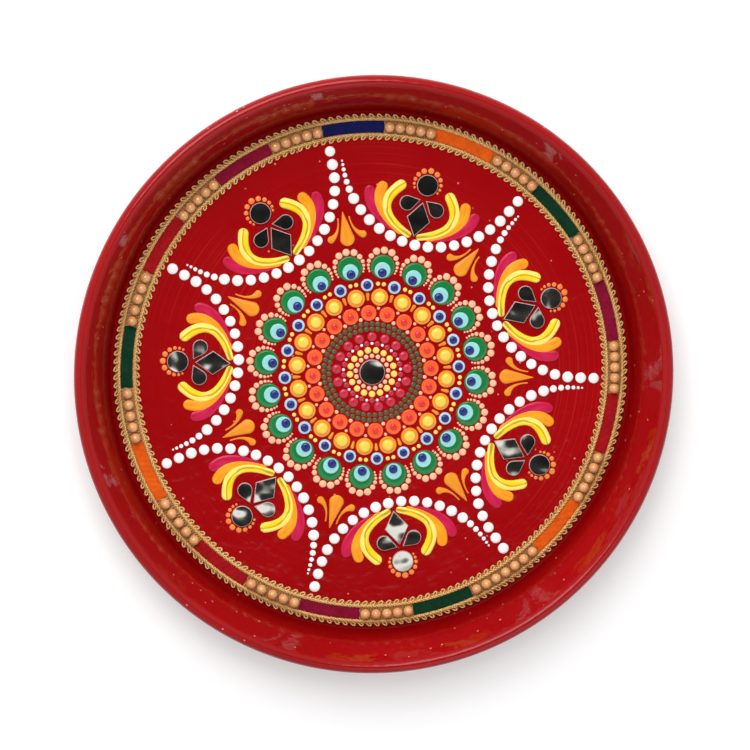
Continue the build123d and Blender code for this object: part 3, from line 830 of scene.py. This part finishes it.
discs = {
    "orange_dots": ((252, 104, 46), (226, 66, 30)),
    "amber_dots": ((252, 160, 30), (236, 118, 22)),
    "blue_eye_rims": ((194, 224, 237), (142, 192, 216)),
    "green_eyes": ((0, 132, 60), (22, 94, 36)),
    "turquoise_eyes": ((166, 227, 226), (116, 196, 200)),
}
for seed, (node, colours) in enumerate(discs.items()):
    one = solids(node)[0]
    width = max(point.x for point in one) - min(point.x for point in one)
    rise = max(point.z for point in one) - min(point.z for point in one)
    mould = disc_mould(f"{node}_mould", width / 2, rise)
    material = paint(node, *colours)
    piece = cast_on(f"painted_{node}", node, mould, disc_uneven, first_disc_seed + seed, material)
    bpy.data.objects.remove(mould)
    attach(piece, "root")
    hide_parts(node)

# Strokes: petals, leaves, commas and ticks of the same paint, pulled with a loaded round brush. The brush
# presses in at the head and lifts off at the tail, and its hairs leave furrows along the stroke.
floor_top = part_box("ochre_strokes")[0].z
stroke_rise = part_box("ochre_strokes")[1].z - floor_top
stroke_steps = 34
stroke_columns = 14
stroke_tail_rise = 0.35
stroke_full_share = 0.3
furrow_width = 0.13
streak_waves = (60, 1500, 1)
band_waves = (90, 420, 1)
seam_wander = 0.25
seam_shade = 0.7


def brush_stroke(mesh, points, tail, head, swell_share, rise, furrows=(), hand=1):
    """Adds one stroke along a bow through three points, from a thin tail to a round head, to a bmesh.

    Its UV map holds the way along the stroke and the way across it, which the hand, 1 or -1, turns round.
    """
    uv = mesh.loops.layers.uv.verify()
    start, middle, end = (Vector(point) for point in points)
    pull = 2 * middle - (start + end) / 2
    length = (middle - start).length + (end - middle).length
    rings = []
    for index in range(stroke_steps + 1):
        along = (1 - cos(pi * index / stroke_steps)) / 2
        way = along * (length + tail / 2 + head / 2) - tail / 2
        share = min(1, max(0, way / length))
        spot = start * (1 - share) ** 2 + pull * 2 * share * (1 - share) + end * share**2
        ahead = ((pull - start) * (1 - share) + (end - pull) * share).normalized()
        swell = 2 * share * (1 - share) * (2 * swell_share - 0.5) + share**2
        half = (tail + (head - tail) * swell) / 2
        if way < 0:
            spot += ahead * way
            half = sqrt(max(0, (tail / 2) ** 2 - way**2))
        elif way > length:
            spot += ahead * (way - length)
            half = sqrt(max(0, (head / 2) ** 2 - (way - length) ** 2))
        across = Vector((ahead.y, -ahead.x))
        crown = rise * (stroke_tail_rise + (1 - stroke_tail_rise) * share)
        crown *= min(1, half / (stroke_full_share * head)) ** 0.5
        ring = []
        for column in range(stroke_columns + 1):
            side = -cos(pi * column / stroke_columns)
            height = crown * (1 - abs(side) ** 3) ** 0.5
            for furrow, depth in furrows:
                height *= 1 - depth * exp(-(((side - furrow) / furrow_width) ** 2))
            foot = spot + across * side * half
            corner = mesh.verts.new((foot.x, foot.y, floor_top + height))
            ring.append((corner, (way, hand * side * half)))
        rings.append(ring)
    for near, far in zip(rings, rings[1:]):
        bands = list(zip(near, near[1:], far[1:], far))
        for band in bands + [(near[-1], near[0], far[0], far[-1])]:
            face = mesh.faces.new([corner for corner, mark in band])
            for loop, (corner, mark) in zip(face.loops, band):
                loop[uv].uv = mark


def stroke_finish(name, colour, streak_colour, pale_and_glint_colour, split_width=0.0):
    """Pulled paint: streaks of the second colour along the stroke, and painted glints in bands of the pale
    one.

    A stroke with a split width was pulled with two colours on the brush: one side of it is pale, and a
    thin dark seam lies between the two.
    """
    material, tree, shader = new_finish(
        name, roughness=0.3, coat_weight=0.25, coat_roughness=0.16, specular_ior_level=0.25
    )
    place = point_on(tree, "UV")
    fine = put(tree, "ShaderNodeMapping", {"Vector": place, "Scale": streak_waves}).outputs[0]
    streaks = noise(tree, fine, 1.0, detail=3.0)
    wide = put(tree, "ShaderNodeMapping", {"Vector": place, "Scale": band_waves}).outputs[0]
    bands = noise(tree, wide, 1.0, detail=1.0)
    pale = srgb(*pale_and_glint_colour)
    # Painted highlight: bands of the pale colour along the stroke stand in for glints on the paint.
    mixed = mix(tree, ramp(tree, bands, (0.46, 0), (0.7, 0.5)), srgb(*colour), pale)
    mixed = mix(tree, ramp(tree, streaks, (0.56, 0), (0.72, 0.75)), mixed, srgb(*streak_colour))
    if split_width:
        sideways = put(tree, "ShaderNodeSeparateXYZ", {0: place}).outputs["Y"]
        wander = calc(tree, "MULTIPLY", calc(tree, "SUBTRACT", bands, 0.5), seam_wander)
        across = calc(tree, "ADD", calc(tree, "MULTIPLY", sideways, 0.5 / split_width), 0.5)
        across = calc(tree, "ADD", across, wander)
        mixed = mix(tree, ramp(tree, across, (0.5, 0), (0.56, 0.85)), mixed, pale)
        seam = ramp(tree, across, (0.47, 0), (0.495, 0.7), (0.515, 0.7), (0.54, 0))
        mixed = mix(tree, seam, mixed, srgb(*[value * seam_shade for value in streak_colour]))
    tree.links.new(mixed, shader.inputs["Base Color"])
    roughen(tree, shader, streaks, strength=0.3, depth=paint_depth)
    return material


flower_count = 7
first_flower_turn = radians(15.3)
round_mirror_low, round_mirror_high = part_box("round_mirror_1")
round_mirror_middle = (round_mirror_low + round_mirror_high) / 2
flower_top = Matrix.Rotation(first_flower_turn, 3, "Z") @ round_mirror_middle
flower_height = 0.0289
flower_reach = 0.01072
flower_foot = Vector((flower_top.x, flower_top.y - flower_height))
petal_head = 0.0050
petal_tail = 0.0031
petal_swell_share = 0.75
petals = {
    "yellow_petals": {
        "shares": ((0.26, 0.15), (1.48, 0.47), (1.12, 0.9)),
        "rise": 1.0,
        "furrows": ((-0.1, 0.22), (0.45, 0.12)),
        "colours": ((255, 218, 10), (232, 160, 10), (255, 238, 120)),
        "split_width": petal_head,
    },
    "amber_petals": {
        "shares": ((0.66, 0.17), (1.72, 0.45), (1.9, 0.8)),
        "rise": 0.82,
        "furrows": ((0.3, 0.12),),
        "colours": ((253, 158, 14), (234, 116, 10), (254, 180, 44)),
    },
    "crimson_petals": {
        "shares": ((0.96, 0.19), (2.0, 0.41), (2.4, 0.68)),
        "rise": 0.66,
        "furrows": ((0.2, 0.1),),
        "colours": ((198, 6, 66), (152, 0, 46), (218, 34, 90)),
    },
}
for node, petal in petals.items():
    mesh = bmesh.new()
    rise = petal["rise"] * stroke_rise
    for side in (-1, 1):
        places = [Vector((side * x * flower_reach, y * flower_height)) for x, y in petal["shares"]]
        points = [flower_foot + place for place in places]
        furrows = [(side * place, depth) for place, depth in petal["furrows"]]
        brush_stroke(mesh, points, petal_tail, petal_head, petal_swell_share, rise, furrows, side)
    values = {
        "Copies": flower_count,
        "First turn": first_flower_turn,
        "Material": stroke_finish(node, *petal["colours"], petal.get("split_width", 0.0)),
    }
    piece = grown(as_object(f"pulled_{node}", mesh), round_plate, values)
    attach(piece, "root")
    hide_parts(node)

ochre_radii = [hypot(point.x, point.y) for points in solids("ochre_strokes") for point in points]
leaf_field = 0.05
leaf_length = 0.0161
leaf_foot = min(radius for radius in ochre_radii if radius > leaf_field)
leaf_tip = leaf_foot + leaf_length
leaf_width = 0.0070
leaf_point = 0.0004
leaf_furrows = ((-0.25, 0.1), (0.2, 0.14))
leaf_head_height = leaf_foot + leaf_width / 2
even_swell = 0.5
comma_head = 0.0035
comma_head_lift = 0.0026
comma_head_height = leaf_foot + comma_head_lift + comma_head / 2
comma_tail = 0.0007
comma_tail_gap = 0.0027
comma_tail_height = leaf_tip - comma_tail_gap
comma_spread = 0.0076
comma_bow_share = 0.3
comma_bend_share = 0.36
comma_swell_share = 0.2
comma_rise = 0.85 * stroke_rise
ochre = stroke_finish("ochre_strokes", (238, 146, 24), (206, 104, 12), (246, 168, 54))
comma_bow = comma_tail_gap + comma_bow_share * (comma_spread - comma_tail_gap)
comma_bend_height = comma_head_height + comma_bend_share * (comma_tail_height - comma_head_height)
mesh = bmesh.new()
leaf_points = [(0, leaf_tip), (0, (leaf_tip + leaf_head_height) / 2), (0, leaf_head_height)]
brush_stroke(mesh, leaf_points, leaf_point, leaf_width, even_swell, stroke_rise, leaf_furrows)
for side in (-1, 1):
    comma_points = [
        (side * comma_tail_gap, comma_tail_height),
        (side * comma_bow, comma_bend_height),
        (side * comma_spread, comma_head_height),
    ]
    brush_stroke(mesh, comma_points, comma_tail, comma_head, comma_swell_share, comma_rise)
values = {"Copies": flower_count, "First turn": first_flower_turn + pi / flower_count, "Material": ochre}
leaves = grown(as_object("pulled_leaves", mesh), round_plate, values)
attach(leaves, "root")
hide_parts("ochre_strokes")

eye_count = 20
first_tick_turn = radians(5.8) + pi / eye_count
tick_length = 0.0042
tick_width = 0.0018
tick_tail = 0.6 * tick_width
tick_foot = min(ochre_radii)
mesh = bmesh.new()
tick_run = tick_length - tick_width
tick_points = [(0, tick_foot + share * tick_run + tick_width / 2) for share in (0, 0.5, 1)]
brush_stroke(mesh, tick_points, tick_tail, tick_width, even_swell, stroke_rise)
values = {"Copies": eye_count, "First turn": first_tick_turn, "Material": ochre}
ticks = grown(as_object("pulled_ticks", mesh), round_plate, values)
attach(ticks, "root")

# Studio: a white table top, a soft lamp high beyond the far side of the plate and a wider, lower one behind
# it, which nothing mirrors, and a weak one on the near side. The room is pale with a dark patch overhead,
# beside a bright strip, which is what the mirrors show.
table_half_width = 4.0
table_drop = 0.0002
table_glow = 0.2
table_white = srgb(238, 238, 238)
mesh = bmesh.new()
bmesh.ops.create_grid(mesh, x_segments=1, y_segments=1, size=table_half_width)
bmesh.ops.translate(mesh, verts=mesh.verts, vec=(0, 0, -table_drop))
table_top = as_object("table_top", mesh)
white_top, tree, shader = new_finish("white_table", base_color=table_white, roughness=0.9)
rays = put(tree, "ShaderNodeLightPath").outputs
mirrored = calc(tree, "MAXIMUM", rays["Is Glossy Ray"], rays["Is Transmission Ray"])
seen = calc(tree, "MAXIMUM", rays["Is Camera Ray"], mirrored)
strength = calc(tree, "MULTIPLY", seen, table_glow)
glow = put(tree, "ShaderNodeEmission", {"Color": (1, 1, 1, 1), "Strength": strength}).outputs[0]
lit = put(tree, "ShaderNodeAddShader", {0: shader.outputs[0], 1: glow}).outputs[0]
tree.links.new(lit, tree.nodes["Material Output"].inputs["Surface"])
table_top.data.materials.append(white_top)

room = bpy.data.worlds.new("pale_room")
room.use_nodes = True
bpy.context.scene.world = room
tree = room.node_tree
dark_way = Vector((0.087, 0.032, 1)).normalized()
ways = {0: point_on(tree, "Generated"), 1: dark_way}
nearness = put(tree, "ShaderNodeVectorMath", ways, operation="DOT_PRODUCT").outputs["Value"]
room_levels = ((0.0, 0.6), (0.955, 0.6))
strip_levels = ((0.968, 1.0), (0.9788, 1.0))
dark_levels = ((0.9812, 0.05), (0.99, 0.03), (1.0, 0.012))
level = ramp(tree, nearness, *room_levels, *strip_levels, *dark_levels)
tree.links.new(level, tree.nodes["Background"].inputs["Color"])


def aim(made, target, above=Vector((0, 1, 0))):
    """Turns a lamp or camera to a point, with the given direction up in its view."""
    ahead = (target - made.location).normalized()
    right = ahead.cross(above).normalized()
    made.rotation_mode = "QUATERNION"
    made.rotation_quaternion = Matrix((right, right.cross(ahead), -ahead)).transposed().to_quaternion()


def soft_lamp(name, location, size, power):
    """A square soft lamp that looks at the middle of the plate."""
    light = bpy.data.lights.new(name, "AREA")
    light.size = size
    light.energy = power
    lamp = bpy.data.objects.new(name, light)
    lamp.location = location
    bpy.context.scene.collection.objects.link(lamp)
    aim(lamp, Vector((0, 0, 0)), Vector((0, 0, 1)))
    return lamp


soft_lamp("key_lamp", Vector((-0.28, 0.74, 1.4)), size=0.9, power=9.5)
wall_lamp = soft_lamp("wall_lamp", Vector((-0.4, 1.3, 0.72)), size=1.4, power=15.0)
wall_lamp.visible_glossy = False
soft_lamp("fill_lamp", Vector((0.5, -0.9, 1.0)), size=0.9, power=1.4)

camera_distance = 1.35
seen_width = 0.3488
lean_left = radians(5.0)
lean_far = radians(6.2)
camera_lean = Vector((-sin(lean_left), sin(lean_far), 1)).normalized()
view_shift = (-0.0006, 0.0011)
view_middle = Vector((*view_shift, rim.z - bead_radius))
camera_data = bpy.data.cameras.new("camera")
camera_data.sensor_width = 36
camera_data.lens = camera_data.sensor_width * camera_distance / seen_width
camera = bpy.data.objects.new("camera", camera_data)
camera.location = view_middle + camera_lean * camera_distance
bpy.context.scene.collection.objects.link(camera)
aim(camera, view_middle)
bpy.context.scene.camera = camera
bpy.context.scene.view_settings.view_transform = "Standard"
